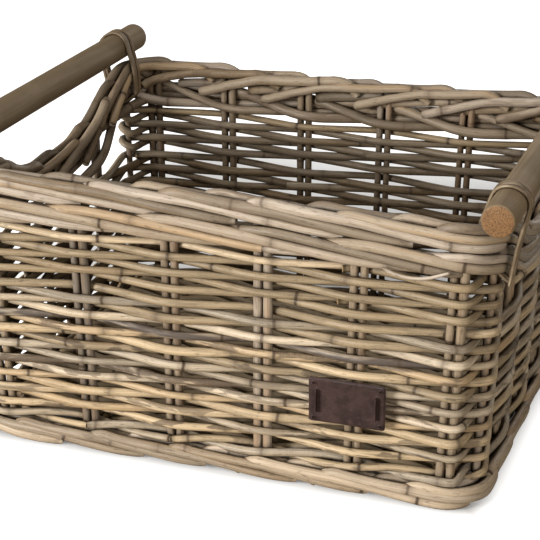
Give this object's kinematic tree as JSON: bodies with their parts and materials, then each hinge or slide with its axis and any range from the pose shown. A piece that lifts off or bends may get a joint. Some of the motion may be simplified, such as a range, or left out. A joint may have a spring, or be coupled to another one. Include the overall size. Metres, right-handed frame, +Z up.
{
  "type": "bicycle basket",
  "caption": "Rectangular open basket woven from round rods, with a twisted rim and foot and a straight carrying pole lashed above each end wall.",
  "frame": {"origin": "middle of the footprint, on the surface that the basket stands on", "axes": "+Z up, -Y towards the front wall with the leather tag, X along the long walls; the poles run along Y"},
  "size_m": [0.429, 0.368, 0.2394],
  "materials": {
    "weaver_rattan": "satin",
    "stake_rattan": "satin",
    "border_rattan": "satin",
    "base_rattan": "satin",
    "pole_wood": "satin",
    "cane": "satin",
    "tag_leather": "satin"
  },
  "bodies": {
    "root": {"wall_weaver_1": "weaver_rattan", "wall_weaver_2": "weaver_rattan", "front_upper_weaver": "weaver_rattan", "back_upper_weaver": "weaver_rattan", "foot_wale_rod_1": "weaver_rattan", "rim_wale_rod_1": "weaver_rattan", "rim_wale_rod_3": "weaver_rattan", "foot_wale_rod_2": "weaver_rattan", "rim_wale_rod_2": "weaver_rattan", "rim_wale_rod_4": "weaver_rattan", "foot_border_rod_1": "border_rattan", "rim_border_rod_1": "border_rattan", "foot_border_rod_2": "border_rattan", "rim_border_rod_2": "border_rattan", "foot_border_rod_3": "border_rattan", "rim_border_rod_3": "border_rattan", "foot_border_rod_4": "border_rattan", "rim_border_rod_4": "border_rattan", "front_stake_1": "stake_rattan", "front_stake_2": "stake_rattan", "front_stake_3": "stake_rattan", "front_stake_4": "stake_rattan", "front_stake_5": "stake_rattan", "front_stake_6": "stake_rattan", "corner_stake_1": "stake_rattan", "right_stake_1": "stake_rattan", "right_stake_2": "stake_rattan", "right_stake_3": "stake_rattan", "corner_stake_2": "stake_rattan", "back_stake_1": "stake_rattan", "back_stake_2": "stake_rattan", "back_stake_3": "stake_rattan", "back_stake_4": "stake_rattan", "back_stake_5": "stake_rattan", "back_stake_6": "stake_rattan", "corner_stake_3": "stake_rattan", "left_stake_1": "stake_rattan", "left_stake_2": "stake_rattan", "left_stake_3": "stake_rattan", "corner_stake_4": "stake_rattan", "base_rod_1": "base_rattan", "base_rod_2": "base_rattan", "base_rod_3": "base_rattan", "base_rod_4": "base_rattan", "base_rod_5": "base_rattan", "base_rod_6": "base_rattan", "base_weaver": "base_rattan", "pole_left": "pole_wood", "pole_right": "pole_wood", "lashing_front_left": "cane", "lashing_front_right": "cane", "lashing_back_left": "cane", "lashing_back_right": "cane", "leather_tag": "tag_leather"}
  },
  "joints": []
}
